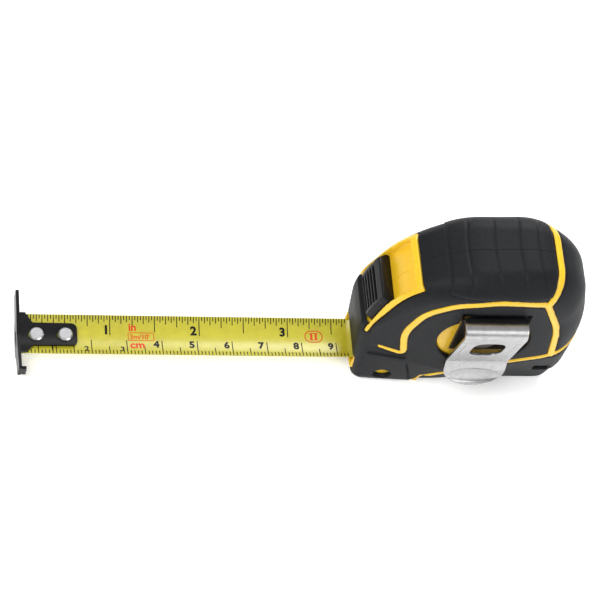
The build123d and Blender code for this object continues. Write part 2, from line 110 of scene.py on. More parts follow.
# Surface effects shared by the finishes below: fine grain, and dust and rub marks that change the colour.
# Each is a node group that puts out a value or a normal, placed in every material with its own numbers.
MM = 0.001


def node_group(name, inputs, outputs):
    """An empty shader group with float inputs and named outputs; returns it with its two end nodes."""
    group = bpy.data.node_groups.new(name, "ShaderNodeTree")
    for label, value in inputs:
        socket = group.interface.new_socket(label, in_out="INPUT", socket_type="NodeSocketFloat")
        socket.default_value = value
    for label, kind in outputs:
        group.interface.new_socket(label, in_out="OUTPUT", socket_type=kind)
    return group, group.nodes.new("NodeGroupInput"), group.nodes.new("NodeGroupOutput")


def wire(tree, start, end):
    """Joins one node's output to another's input."""
    tree.links.new(start, end)


grain_group, grain_in, grain_out = node_group(
    "moulded_grain", [("Size", 2500.0), ("Depth", 0.00004), ("Strength", 0.5)],
    [("Normal", "NodeSocketVector")])
where = grain_group.nodes.new("ShaderNodeTexCoord")
pebbles = grain_group.nodes.new("ShaderNodeTexNoise")
pebbles.inputs["Detail"].default_value = 2.0
wire(grain_group, where.outputs["Object"], pebbles.inputs["Vector"])
wire(grain_group, grain_in.outputs["Size"], pebbles.inputs["Scale"])
raised = grain_group.nodes.new("ShaderNodeBump")
wire(grain_group, pebbles.outputs["Fac"], raised.inputs["Height"])
wire(grain_group, grain_in.outputs["Depth"], raised.inputs["Distance"])
wire(grain_group, grain_in.outputs["Strength"], raised.inputs["Strength"])
wire(grain_group, raised.outputs["Normal"], grain_out.inputs["Normal"])

wear_group, wear_in, wear_out = node_group(
    "dust_and_rub", [("Patch Size", 60.0), ("Fine Size", 900.0), ("Low", 0.4), ("High", 0.6)],
    [("Mask", "NodeSocketFloat"), ("Roughness", "NodeSocketFloat")])
wear_where = wear_group.nodes.new("ShaderNodeTexCoord")
patches = wear_group.nodes.new("ShaderNodeTexNoise")
specks = wear_group.nodes.new("ShaderNodeTexNoise")
for texture, size in ((patches, "Patch Size"), (specks, "Fine Size")):
    texture.inputs["Detail"].default_value = 4.0
    wire(wear_group, wear_where.outputs["Object"], texture.inputs["Vector"])
    wire(wear_group, wear_in.outputs[size], texture.inputs["Scale"])
mixed = wear_group.nodes.new("ShaderNodeMath")
mixed.operation = "MULTIPLY"
wire(wear_group, patches.outputs["Fac"], mixed.inputs[0])
wire(wear_group, specks.outputs["Fac"], mixed.inputs[1])
spread = wear_group.nodes.new("ShaderNodeMapRange")
spread.inputs["From Min"].default_value = 0.15
spread.inputs["From Max"].default_value = 0.45
wire(wear_group, mixed.outputs["Value"], spread.inputs["Value"])
wire(wear_group, spread.outputs["Result"], wear_out.inputs["Mask"])
rough = wear_group.nodes.new("ShaderNodeMapRange")
wire(wear_group, patches.outputs["Fac"], rough.inputs["Value"])
wire(wear_group, wear_in.outputs["Low"], rough.inputs["To Min"])
wire(wear_group, wear_in.outputs["High"], rough.inputs["To Max"])
wire(wear_group, rough.outputs["Result"], wear_out.inputs["Roughness"])


def finish(name, colour, worn_colour, low, high, metallic=0.0, grain=2500.0, depth=0.00004, strength=0.4,
           patch=60.0, fine=900.0, sockets=()):
    """A finish: two colours mixed by the rub mask, roughness between low and high, and fine grain."""
    material = bpy.data.materials.new(name)
    material.use_nodes = True
    tree = material.node_tree
    shader = tree.nodes["Principled BSDF"]
    shader.inputs["Metallic"].default_value = metallic
    for socket, value in sockets:
        shader.inputs[socket].default_value = value
    wear = tree.nodes.new("ShaderNodeGroup")
    wear.node_tree = wear_group
    for label, value in (("Patch Size", patch), ("Fine Size", fine), ("Low", low), ("High", high)):
        wear.inputs[label].default_value = value
    mix = tree.nodes.new("ShaderNodeMix")
    mix.data_type = "RGBA"
    mix.inputs["A"].default_value = (*colour, 1)
    mix.inputs["B"].default_value = (*worn_colour, 1)
    wire(tree, wear.outputs["Mask"], mix.inputs["Factor"])
    wire(tree, mix.outputs["Result"], shader.inputs["Base Color"])
    wire(tree, wear.outputs["Roughness"], shader.inputs["Roughness"])
    bumps = tree.nodes.new("ShaderNodeGroup")
    bumps.node_tree = grain_group
    for label, value in (("Size", grain), ("Depth", depth), ("Strength", strength)):
        bumps.inputs[label].default_value = value
    wire(tree, bumps.outputs["Normal"], shader.inputs["Normal"])
    return material


# Case, hard shell: two halves moulded in glossy yellow plastic, parted down the middle.
# It shows as raised stripes between the rubber areas, as the lock's recess and as the face in the window.
yellow_plastic = finish("yellow_plastic", (0.88, 0.55, 0.022), (0.84, 0.50, 0.018), 0.26, 0.36,
                        grain=4000.0, depth=0.00001, strength=0.2, sockets=(("Specular IOR Level", 0.5),))
WINDOW_X, WINDOW_Z, WINDOW_R = 0.5, 30.0, 13.5
CASE_HALF = 13.0
SKIN = 1.4              # depth of the window's yellow face behind the side face
TAPER_FROM, TAPER_SLOPE, TAPER_EASE = -8.0, 0.16, 2.0
# The side outline, from the nose's foot over the top to the back's foot, and the radius at each corner.
case_corners = [(-31.0, 0), (-34.3, 29), (-25.7, 50.2), (-10, 58.0), (14.5, 59.3), (25.6, 51.0), (30.4, 32),
                (28.7, 12.5), (25.7, 0)]
case_radii = [1.6, 25, 26, 32, 22, 15, 45, 8, 2.5]


def rounded_path(points, radii, closed=False, step=0.25):
    """Straight runs joined by arcs tangent to both, one at each corner, sampled at even steps."""
    points = [np.array(p, float) for p in points]
    count = len(points)
    corners = range(count) if closed else range(1, count - 1)
    radii = dict(zip(corners, radii))
    out = []
    for i in range(count):
        if i not in radii:
            out.append(points[i][None])
            continue
        before, at, after = points[i - 1], points[i], points[(i + 1) % count]
        a, b = (before - at) / np.linalg.norm(before - at), (after - at) / np.linalg.norm(after - at)
        half = math.acos(float(np.clip(a @ b, -1, 1))) / 2
        reach = radii[i] / math.tan(half)
        middle = at + (a + b) / np.linalg.norm(a + b) * radii[i] / math.sin(half)
        first, last = at + a * reach - middle, at + b * reach - middle
        sweep = math.atan2(first[0] * last[1] - first[1] * last[0], first @ last)
        angles = np.linspace(0, sweep, max(3, int(abs(sweep) * radii[i] / step)))
        c, s = np.cos(angles), np.sin(angles)
        out.append(middle + np.stack([first[0] * c - first[1] * s, first[0] * s + first[1] * c], 1))
    path = np.concatenate(out)
    if closed:
        path = np.concatenate([path, path[:1]])
    run = np.concatenate([[0], np.cumsum(np.linalg.norm(np.diff(path, axis=0), axis=1))])
    even = np.linspace(0, run[-1], max(2, int(run[-1] / step)))
    return np.stack([np.interp(even, run, path[:, k]) for k in (0, 1)], 1)


rim = rounded_path(case_corners, case_radii, closed=True, step=0.28)[:-1]
rim_angle = np.unwrap(np.arctan2(rim[:, 1] - WINDOW_Z, rim[:, 0] - WINDOW_X))


def ease(value, low, high):
    """0 below low and 1 above high, with a smooth step between."""
    share = np.clip((value - low) / (high - low), 0, 1)
    return share * share * (3 - 2 * share)


def half_width(x):
    """Half the case's width: even over the reel, then narrowing in a straight taper to the nose."""
    return CASE_HALF - TAPER_SLOPE * TAPER_EASE * np.log1p(np.exp((TAPER_FROM - x) / TAPER_EASE))


def round_table(angle, stops):
    """A value that eases from stop to stop round the case; stops are (degrees from the back, value)."""
    degrees = np.degrees(angle) % 360
    value = np.zeros_like(degrees)
    for (a, va), (b, vb) in zip(stops[:-1], stops[1:]):
        inside = (degrees >= a) & (degrees <= b)
        value = np.where(inside, va + (vb - va) * ease(degrees, a, b), value)
    return value


# How far the shoulder reaches in from the rim and across from the side face, by degrees from the back.
SHOULDER_DEPTH = [(0, 9), (40, 11), (75, 7), (150, 5.5), (185, 3), (215, 2.2), (300, 2.5), (360, 9)]
SHOULDER_WIDTH = [(0, 10.5), (40, 10.5), (75, 7), (125, 6), (150, 4), (185, 4), (215, 3.5), (300, 3),
                  (360, 10.5)]


def case_surface(rings_top=24, rings_round=28, rings_side=62):
    """The case's outer face, one side, as a grid: round the rim, then from the middle plane over the
    shoulder to the side face and in to the window.  Returns x, |y|, z."""
    inset = round_table(rim_angle, SHOULDER_DEPTH)
    spread = round_table(rim_angle, SHOULDER_WIDTH)
    inward = np.stack([WINDOW_X - rim[:, 0], WINDOW_Z - rim[:, 1]], 1)
    reach = np.linalg.norm(inward, axis=1)
    inward /= reach[:, None]
    top = np.concatenate([[0, 0.012], np.linspace(0.03, 1, rings_top - 2, endpoint=False)])
    turn_angle = np.linspace(0, math.pi / 2, rings_round)
    side = np.linspace(0, 1, rings_side + 1)[1:]
    depth = np.concatenate([
        np.zeros((len(rim), rings_top)),
        inset[:, None] * (1 - np.cos(turn_angle))[None],
        inset[:, None] + (reach - WINDOW_R - inset)[:, None] * side[None]], axis=1)
    y = np.concatenate([
        (CASE_HALF - spread)[:, None] * top[None],
        (CASE_HALF - spread)[:, None] + spread[:, None] * np.sin(turn_angle)[None],
        np.full((len(rim), rings_side), CASE_HALF)], axis=1)
    x = rim[:, :1] + inward[:, :1] * depth
    z = rim[:, 1:] + inward[:, 1:] * depth
    y = y * half_width(x) / CASE_HALF
    return x, y, z


def away(path, widths, x, z):
    """Distance in mm from each point of the side view to the edge of a stripe along a path."""
    flat = np.stack([x.ravel(), z.ravel()], 1)
    best = np.full(len(flat), np.inf)
    nearest = np.zeros(len(flat), int)
    for k, (px, pz) in enumerate(path):
        gap = (flat[:, 0] - px) ** 2 + (flat[:, 1] - pz) ** 2
        closer = gap < best
        best[closer], nearest[closer] = gap[closer], k
    return (np.sqrt(best) - widths[nearest]).reshape(x.shape)


# The stripes in the side view: the arch over the side panel, one over the top, and the foot's line.
arch = rounded_path(
    [(-27, 20.5), (-19.7, 18.2), (-22, 30), (-18.5, 42), (-11, 49), (-0.2, 51.7), (13.5, 51), (20, 37),
     (21.9, 22.5)],
    [1.2, 20, 14, 12, 20, 3, 30])
over_top = rounded_path([(14.2, 51), (17.2, 57), (19, 63)], [6])
foot_line = rounded_path(
    [(-14.2, -2), (-11.2, 4.9), (-6.5, 9), (10, 17.6), (19.5, 20.9), (22.5, 22.9), (27, 25.6), (36, 28.6)],
    [5, 6, 20, 12, 12, 12])
arch_half = np.interp(np.arange(len(arch)), [0, 26, 34], [0.25, 0.48, 0.80])
top_half = np.full(len(over_top), 0.90)
foot_half = np.full(len(foot_line), 0.44)
LOCK_X, LOCK_Z, LOCK_FLOOR = 1.0, 28.0, 30.4


def stripe_gap(x, z):
    """How far a point is outside the nearest stripe's edge, in mm; negative on the stripe."""
    return np.minimum(np.minimum(away(arch, arch_half, x, z), away(over_top, top_half, x, z)),
                      away(foot_line, foot_half, x, z))


def lock_angle(x, z):
    """Degrees above the front of the arc that the lock slides along."""
    return np.degrees(np.arctan2(z - LOCK_Z, LOCK_X - x))


def box_gap(u, v, u_low, u_high, v_high, corner=0.0):
    """Signed distance outside a box across the case: v is measured both ways from the middle plane."""
    across, along = v - v_high + corner, np.maximum(u_low - u, u - u_high) + corner
    outside = np.hypot(np.maximum(across, 0), np.maximum(along, 0))
    return outside + np.minimum(np.maximum(across, along), 0) - corner


ARC_STEP = 0.55         # millimetres along the lock's arc for each degree


def frame_gap(x, y, z, nose_high=3.0):
    """Signed distance, in mm, outside the recess's frame; the nose reaches up between its two ends."""
    along = lock_angle(x, z) * ARC_STEP
    nose = box_gap(along, y, -20.0, nose_high * ARC_STEP, 8.5)
    return np.maximum(box_gap(along, y, -0.6, 25.6, 9.0), -nose)


def floor_gap(x, y, z):
    """Signed distance, in mm, outside the recess's floor; its sides draw in a little towards the top."""
    along = lock_angle(x, z) * ARC_STEP
    return box_gap(along, y + 0.7 * ease(along, 2, 14), 1.4, 23.7, 8.5, 0.5)


def push_out(x, y, z, height):
    """Moves the surface along its own normal by a height; the normal comes from the grid's neighbours."""
    along = np.stack([np.roll(a, -1, 0) - np.roll(a, 1, 0) for a in (x, y, z)], -1)
    across = np.stack([np.gradient(a, axis=1) for a in (x, y, z)], -1)
    normal = np.cross(along, across)
    normal /= np.maximum(np.linalg.norm(normal, axis=-1, keepdims=True), 1e-9)
    return x + normal[..., 0] * height, y + normal[..., 1] * height, z + normal[..., 2] * height


def narrow_foot(x, y, z):
    """Below the foot's line the sides lean in to the base, with a small step along a sloping ledge."""
    line = np.interp(x, [-28, -12, -6.5, 10, 19.5, 31], [15, 13.5, 12, 16.5, 20, 23])
    lean = np.interp(x, [-28, -14, -4, 8, 31], [0.0, 1.7, 2.9, 3.5, 3.5])
    ledge = 5.5 + 0.128 * (x + 12)
    step = 0.6 * ease(ledge - z, -0.2, 0.2) * ease(x, -12.6, -11.6) * ease(y, 4, 7)
    return y * (1 - lean / CASE_HALF * np.clip((line - z) / line, 0, 1)) - step


def grid_faces(rows, columns, wrap):
    """Quads of a grid of rows by columns, joined up round the rows where it wraps."""
    r = np.arange(rows if wrap else rows - 1)[:, None]
    c = np.arange(columns - 1)[None]
    after = (r + 1) % rows
    return np.stack([r * columns + c, r * columns + c + 1, after * columns + c + 1, after * columns + c], -1)


def make_piece(name, points, faces, material, body, replaced=(), smooth=True):
    """A mesh piece from points in millimetres and faces; unused points are dropped."""
    points = np.asarray(points, float).reshape(-1, 3)
    faces = np.asarray(faces, int).reshape(-1, 4)
    used, inverse = np.unique(faces, return_inverse=True)
    faces = inverse.reshape(faces.shape)
    mesh = bpy.data.meshes.new(name)
    loops = [tuple(dict.fromkeys(f)) for f in faces.tolist()]
    mesh.from_pydata((points[used] * MM).tolist(), [], [f for f in loops if len(f) > 2])
    welded = bmesh.new()
    welded.from_mesh(mesh)
    bmesh.ops.remove_doubles(welded, verts=welded.verts, dist=1e-6)
    bmesh.ops.dissolve_degenerate(welded, edges=welded.edges, dist=1e-7)
    welded.to_mesh(mesh)
    welded.free()
    mesh.polygons.foreach_set("use_smooth", [smooth] * len(mesh.polygons))
    mesh.materials.append(material)
    piece = bpy.data.objects.new(name, mesh)
    bpy.context.scene.collection.objects.link(piece)
    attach(piece, body)
    if replaced:
        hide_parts(*replaced)
    return piece


SEAM = 0.16             # depth of the fine line where the two halves meet
grid_x, grid_y, grid_z = case_surface()
gap = stripe_gap(grid_x, grid_z)
frame_edge = frame_gap(grid_x, grid_y, grid_z)
shell_edge = frame_gap(grid_x, grid_y, grid_z, 4.2)
floor_edge = floor_gap(grid_x, grid_y, grid_z)
mouth_edge = np.maximum.reduce([3.3 - grid_z, grid_z - 9.9, grid_y - 8.0, grid_x + 26])
EYE_Z, EYE_HALF_Z, EYE_LEAN = 10.9, 2.5, 0.1       # the wrist cord's eye, which leans a little with the back
eye_edge = box_gap(grid_x + EYE_LEAN * (grid_z - 8), np.abs(grid_z - EYE_Z), 19.9, 25.0, EYE_HALF_Z, 0.8)
PIN_X, PIN_Z = -23.0, 5.3                          # the pin recess low on the nose, on the clip's side


def middle(a):
    """The mean of each quad's four corners."""
    after = np.roll(a, -1, 0)
    return (a[:, :-1] + a[:, 1:] + after[:, :-1] + after[:, 1:]) / 4


PROUD, UNDER_RUBBER = 0.12, 1.85        # a stripe's height, and its drop to the shell below the rubber


def shell_half(name, side, node):
    """The yellow half: low under the rubber, raised along the stripes and the recess's frame."""
    raised = PROUD - UNDER_RUBBER * ease(gap, -0.05, 0.75)
    raised = np.maximum(raised, PROUD - UNDER_RUBBER * ease(shell_edge, -0.1, 0.45))
    raised = np.where((side < 0) & (np.hypot(grid_x - PIN_X, grid_z - PIN_Z) < 2.7), -1.05, raised)
    raised = np.where(eye_edge < 1.3, -5.0, raised)
    raised[:, 0] -= SEAM * (gap[:, 0] > 0.3)
    x, y, z = push_out(grid_x, grid_y, grid_z, raised)
    radius = np.hypot(x - LOCK_X, z - LOCK_Z)
    sunk = 1 - ease(floor_edge, -0.3, 0.0)
    line = SEAM * (np.arange(radius.shape[1]) == 0)
    scale = (radius + (LOCK_FLOOR - line - radius) * sunk) / radius
    x, z = LOCK_X + (x - LOCK_X) * scale, LOCK_Z + (z - LOCK_Z) * scale
    y = narrow_foot(x, y, z)
    face = np.linspace(1, 0, 12)
    wx = WINDOW_X + (grid_x[:, -1:] - WINDOW_X) * face[None]
    wz = WINDOW_Z + (grid_z[:, -1:] - WINDOW_Z) * face[None]
    wy = np.full_like(wx, CASE_HALF - SKIN)
    x, y, z = (np.concatenate(pair, axis=1) for pair in ((x, wx), (y, wy), (z, wz)))
    faces = grid_faces(*x.shape, True)
    if side < 0:
        faces = faces[..., ::-1]
    solid = np.ones(faces.shape[:2], bool)
    solid[:, :grid_x.shape[1] - 1] = middle(mouth_edge) > -0.3
    points = np.stack([x, side * y, z], -1)
    return make_piece(name, points, faces[solid], yellow_plastic, "case", [node])


shell_half("hard_shell_clip_side", -1, "case_half_clip_side")
shell_half("hard_shell_badge_side", 1, "case_half_badge_side")

# Rubber: soft black skin moulded over the shell in four areas on each half, rolled over at every edge.
# The grip pad is raised and grooved across the top, and a shallow pocket clears the clip's fold.
black_rubber = finish("black_rubber", (0.0085, 0.0092, 0.0110), (0.0120, 0.0130, 0.0150), 0.46, 0.60,
                      grain=3200.0, depth=0.00003, strength=0.35, sockets=(("Specular IOR Level", 0.15),))


def groove(value, at, half, depth):
    """A rounded groove across a value: deepest at its middle line."""
    return -depth * np.exp(-((value - at) / half) ** 2)


PAD_GROOVES_X = (-9.0, -1.8, 5.2, 11.0)
SCREWS_XZ = ((19.7, 46.8), (24.5, 18.2), (-27.5, 14.0))


def rubber_height(x, y, z, side):
    """Height of the rubber over the case's face: edges rolled down, pad raised, grooves pressed in."""
    height = -0.86 * (1 - ease(gap, -0.35, 0.40))
    height = height - 0.14 * (1 - ease(gap, 0.3, 1.3))
    height = height - 0.9 * (1 - ease(frame_edge, 0.0, 0.4))
    pad_edge = np.maximum(np.maximum(-13.7 - x, x - 15.2), 53.4 - z)
    height = height + 0.30 * (1 - ease(pad_edge, -0.25, 0.25)) + groove(pad_edge, 0.35, 0.3, 0.16)
    reach = ease(-y, -11.3, -10.4)
    for at in PAD_GROOVES_X:
        height = height + groove(x, at + 0.008 * y * y, 0.36, 0.24) * reach * ease(z, 54, 55)
    low = np.maximum(z - 16.4, np.maximum(-29.4 - x, x + 18.6 - 0.3 * (16.4 - z)))
    height = height + 0.5 * (1 - ease(low, -0.25, 0.1)) * ease(y, 6.5, 8.2) * ease(z, 0.5, 3.5)
    height = height - 3.2 * (1 - ease(eye_edge, -0.35, 0.1)) * ease(y, 3, 6)
    if side < 0:
        pocket = np.maximum(np.abs(x - 0.9) - 9.8, np.abs(z - 40.7) - 4.6)
        height = height - 1.3 * (1 - ease(pocket, -0.7, 0.1)) * ease(y, 11, 12)
        pin = np.hypot(x - PIN_X, z - PIN_Z)
        height = height - 2.6 * (1 - ease(pin, 2.25, 2.5)) * ease(y, 6, 7)
    else:
        for at_x, at_z in SCREWS_XZ:
            height = height - 1.1 * (1 - ease(np.hypot(x - at_x, z - at_z), 2.3, 2.7)) * ease(y, 5, 6)
    height[:, 0] -= SEAM
    return height


def area_of(x, z):
    """Which rubber area a point of the side view is in: 0 grip, 1 back, 2 side panel and nose, 3 foot."""
    order = np.argsort(foot_line[:, 0])
    foot = (z < np.interp(x, foot_line[order, 0], foot_line[order, 1])) & (x > -14.4)
    back_line = np.interp(z, [20, 37, 51, 57, 63], [21.9, 20, 14.4, 17.2, 19])
    back = ~foot & (x > back_line) & (z > 22)

    def polar(px, pz):
        angle = np.arctan2(pz - WINDOW_Z, px - WINDOW_X)
        return np.where(angle < -2.2, angle + 2 * math.pi, angle), np.hypot(px - WINDOW_X, pz - WINDOW_Z)

    line_angle, line_reach = polar(arch[30:, 0], arch[30:, 1])
    angle, reach = polar(x, z)
    order = np.argsort(line_angle)
    under = (reach < np.interp(angle, line_angle[order], line_reach[order])) & (angle > -0.4)
    low = z < np.interp(x, [-40, -27, -19.7, 40], [23.3, 20.5, 18.2, 18.2])
    panel = ~foot & ~back & (under | low | (reach < 16))
    return np.where(foot, 3, np.where(back, 1, np.where(panel, 2, 0)))


FOLD_SHADE = 39.6       # the skin closes the window's top behind the clip's fold, down to here


def rubber_skin(side, word):
    """The four rubber areas of one half, cut from one grid along the middle of the stripes."""
    height = rubber_height(grid_x, grid_y, grid_z, side)
    x, y, z = push_out(grid_x, grid_y, grid_z, height)
    mouth = 1 - ease(mouth_edge, -0.25, 0.15)
    x = x + 3.5 * mouth
    y = narrow_foot(x, y, z)
    roll = np.linspace(0, 1, 5)[1:]
    reach = WINDOW_R - 0.5 * np.sin(roll * math.pi / 2)
    unit_x, unit_z = (grid_x[:, -1:] - WINDOW_X) / WINDOW_R, (grid_z[:, -1:] - WINDOW_Z) / WINDOW_R
    drop = np.concatenate([0.5 * (1 - np.cos(roll * math.pi / 2)), [1.25, 1.25, SKIN + 0.1]])
    reach = np.concatenate([reach, reach[-1:], reach[-1:], reach[-1:]])
    x = np.concatenate([x, WINDOW_X + unit_x * reach[None]], axis=1)
    z = np.concatenate([z, WINDOW_Z + unit_z * reach[None]], axis=1)
    if side < 0:
        z[:, -2:] = np.minimum(z[:, -2:], FOLD_SHADE)
    edge_y = np.maximum(y[:, -1:] - drop[None], CASE_HALF - 1.25)
    edge_y[:, -3:] = CASE_HALF - drop[-3:]
    y = np.concatenate([y, edge_y], axis=1)
    faces = grid_faces(*x.shape, True)
    if side < 0:
        faces = faces[..., ::-1]
    area = area_of(middle(x), middle(z))
    keep = np.ones(area.shape, bool)
    columns = frame_edge.shape[1] - 1
    keep[:, :columns] = (middle(frame_edge) > -0.45) & (middle(mouth_edge) > -0.3)
    points = np.stack([x, side * y, z], -1)
    for number, label in enumerate(("grip_pad", "rear_bumper", "side_panel", "foot")):
        nodes = [f"{label}_{word}"] if number < 3 else []
        nodes += {2: ["mouth_stop"], 3: ["base_foot"]}.get(number, []) if side < 0 else []
        name = f"{label}_rubber_{word}"
        make_piece(name, points, faces[keep & (area == number)], black_rubber, "case", nodes)


rubber_skin(-1, "clip_side")
rubber_skin(1, "badge_side")

# Mouth: the blade's slot, with a thin yellow lip of the hard shell showing round it.
# The lip is a rounded frame swept round the opening, and it runs back into the case as the slot's wall.
MOUTH_BACK = -15.0
mouth_path = rounded_path([(-8, 3.2), (8, 3.2), (8, 9.9), (-8, 9.9)], [1.0, 1.0, 1.6, 1.6], closed=True)[:-1]
mouth_middle = np.array([0, 6.55])
lip_section = np.array([(MOUTH_BACK, 0.0), (-31.2, 0.0), (-31.7, 0.10), (-31.85, 0.28), (-31.8, 0.46),
                        (-31.5, 0.55), (MOUTH_BACK, 0.55), (MOUTH_BACK, 0.0)])
inward = (mouth_middle - mouth_path) / np.array([8, 3.35])
lip_y = mouth_path[:, :1] + inward[:, :1] * lip_section[None, :, 1]
lip_z = mouth_path[:, 1:] + inward[:, 1:] * lip_section[None, :, 1]
lip_x = np.broadcast_to(lip_section[None, :, 0], lip_y.shape)
make_piece("mouth_lip", np.stack([lip_x, lip_y, lip_z], -1), grid_faces(*lip_x.shape, True)[..., ::-1],
           yellow_plastic, "case")

# Blade: spring steel, hollow across, lacquered yellow-green, with about 93 mm of it outside the mouth.
# It would wind into the case; here it keeps its full length outside the mouth.
blade_lacquer = finish("blade_lacquer", (0.50, 0.455, 0.028), (0.42, 0.37, 0.022), 0.28, 0.42,
                       grain=1500.0, depth=0.00001, strength=0.15, patch=25.0, fine=500.0,
                       sockets=(("Coat Weight", 0.25), ("Coat Roughness", 0.2)))
BLADE_R, BLADE_TOP, BLADE_THICK = 13.0, 5.2, 0.2
BLADE_CHORD_HALF = 6.1
BLADE_HALF = BLADE_R * math.asin(BLADE_CHORD_HALF / BLADE_R)     # measured along the curve
BLADE_FROM, BLADE_TO = -125.4, -30.2
ZERO = -125.5           # the hook's inner face, from which both scales count


def on_blade(x, across, lift):
    """A point above the hollow face: across is measured along the curve, lift towards its centre."""
    x, across, lift = np.broadcast_arrays(x, across, lift)
    angle = across / BLADE_R
    radius = BLADE_R - lift
    return np.stack([x, radius * np.sin(angle), BLADE_TOP + BLADE_R - radius * np.cos(angle)], -1)


def gathers(piece):
    """Gives the piece its own copy of its mesh; it is not squashed towards the mouth."""
    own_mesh(piece)


strip_across = BLADE_HALF * np.concatenate([np.linspace(-1, 1, 25), np.linspace(1, -1, 25)])
strip_lift = np.repeat([0.0, -BLADE_THICK], 25)
strip_along = np.concatenate([[BLADE_FROM], np.linspace(BLADE_FROM, BLADE_TO, 40), [BLADE_TO]])
strip = on_blade(strip_along[None], strip_across[:, None], strip_lift[:, None])
strip[:, [0, -1]] = strip[:, [0, -1]].mean(axis=0)
gathers(make_piece("blade_strip", strip, grid_faces(*strip.shape[:2], True), blade_lacquer,
                   "case", ["blade_outer"]))

# Scale: printed inches along the far edge and centimetres along the near edge, both from the hook.
# Each mark and numeral is a thin wafer of ink that follows the blade's curve.
black_ink = finish("black_ink", (0.006, 0.006, 0.005), (0.009, 0.008, 0.006), 0.35, 0.5, depth=0.000005,
                  sockets=(("Specular IOR Level", 0.2),))
red_ink = finish("red_ink", (0.62, 0.045, 0.012), (0.55, 0.05, 0.015), 0.35, 0.5, depth=0.000005,
                  sockets=(("Specular IOR Level", 0.2),))
INK = 0.02              # thickness of the ink
INCH = 25.4


def wafers(x_low, x_high, low, high, steps=6):
    """Thin bars on the blade, each a ring of four corners carried across it in even steps."""
    across = low[:, None] + (high - low)[:, None] * np.linspace(0, 1, steps)[None]
    corners = [(x_low, 0.0), (x_high, 0.0), (x_high, INK), (x_low, INK)]
    rings = np.stack([on_blade(x[:, None], across, lift) for x, lift in corners], 2)
    count = len(x_low)
    first = (np.arange(count)[:, None, None] * steps + np.arange(steps - 1)[None, :, None]) * 4
    k = np.arange(4)[None, None]
    after = (k + 1) % 4
    sides = np.stack([first + k, first + after, first + 4 + after, first + 4 + k], -1).reshape(-1, 4)
    ends = np.arange(count)[:, None] * steps * 4
    near = ends + np.array([[3, 2, 1, 0]])
    far = ends + (steps - 1) * 4 + np.array([[0, 1, 2, 3]])
    return rings.reshape(-1, 3), np.concatenate([sides, near, far])


def marks(spacing, last, lengths, edge, half):
    """Marks at an even spacing from zero; the longest length whose interval divides the count holds."""
    count = np.arange(1, int(last / spacing) + 1)
    length = np.zeros(len(count))
    for every, value in lengths:
        length = np.where(count % every == 0, value, length)
    x = ZERO + count * spacing
    tip = edge * (BLADE_HALF - 0.03)
    low, high = np.minimum(tip, tip - edge * length), np.maximum(tip, tip - edge * length)
    return x - half, x + half, low, high


BLADE_SEEN = 93.0
BAR_HALF = 0.13
inch_lengths = [(1, 1.3), (2, 1.9), (4, 2.4), (8, 3.2), (16, 4.7), (32, 5.7)]
inch_bars = marks(INCH / 32, BLADE_SEEN, inch_lengths, 1, BAR_HALF)
centimetre_bars = marks(1.0, BLADE_SEEN, [(1, 1.6), (5, 3.1), (10, 5.3)], -1, BAR_HALF)
bars = [np.concatenate(pair) for pair in zip(inch_bars, centimetre_bars)]
points, faces = wafers(*bars)
gathers(make_piece("scale_marks", points, faces, black_ink, "case", smooth=False))


def printed(name, words, material, lift=0.0):
    """Words wrapped on the blade: each is (text, left or right edge, side, middle, height, weight)."""
    piece_points, piece_faces, start = [], [], 0
    for text, edge, side, centre, height, weight in words:
        curve = bpy.data.curves.new(name, "FONT")
        curve.body, curve.size, curve.offset, curve.extrude = text, 1.0, weight, 0.01
        holder = bpy.data.objects.new(name, curve)
        bpy.context.scene.collection.objects.link(holder)
        bpy.context.view_layer.update()
        shape = bpy.data.meshes.new_from_object(holder.evaluated_get(bpy.context.evaluated_depsgraph_get()))
        flat = np.array([v.co for v in shape.vertices])
        low, high = flat.min(0), flat.max(0)
        scale = height / (high[1] - low[1])
        width = (high[0] - low[0]) * scale
        x = (flat[:, 0] - low[0]) * scale + (edge if side == "left" else edge - width)
        across = (flat[:, 1] - (low[1] + high[1]) / 2) * scale + centre
        piece_points.append(on_blade(x, across, np.where(flat[:, 2] > 0, INK, 0.0) + lift))
        piece_faces += [[start + v for v in face.vertices] for face in shape.polygons]
        start += len(flat)
        bpy.data.objects.remove(holder)
        bpy.data.curves.remove(curve)
        bpy.data.meshes.remove(shape)
    faces = np.array([face + face[-1:] * (4 - len(face)) for face in piece_faces if len(face) < 5])
    gathers(make_piece(name, np.concatenate(piece_points), faces, material, "case",
                       smooth=False))


numerals = [(str(n), ZERO + INCH * n - 0.75, "right", 2.15, 2.75, 0.045) for n in (1, 2, 3)]
numerals += [(str(n), ZERO + 10.0 * n - 0.8, "right", -2.3, 2.45, 0.05) for n in range(4, 10)]
numerals += [(str(n), ZERO + 10.0 * n - 0.8, "right", -4.2, 1.95, 0.03) for n in (1, 2, 3)]
printed("scale_numerals", numerals, black_ink)
printed("scale_units", [("in", ZERO + 30.7, "left", 2.95, 2.2, 0.03),
                        ("cm", ZERO + 30.9, "left", -2.95, 1.85, 0.03),
                        ("3m/10'", ZERO + 31.0, "left", 0.13, 1.6, 0.02)], red_ink, 0.01)


def ring_on_blade(name, path, width, material):
    """A closed line of even width printed on the blade, following a path of (x, across)."""
    step = np.roll(path, -1, 0) - np.roll(path, 1, 0)
    side = np.stack([-step[:, 1], step[:, 0]], 1) / np.linalg.norm(step, axis=1, keepdims=True) * width / 2
    inner, outer = path + side, path - side
    corners = [on_blade(edge[:, 0], edge[:, 1], lift) for edge, lift in
               ((inner, 0.0), (outer, 0.0), (outer, INK), (inner, INK), (inner, 0.0))]
    grid = np.stack(corners, 1)
    return make_piece(name, grid, grid_faces(*grid.shape[:2], True), material, "case")


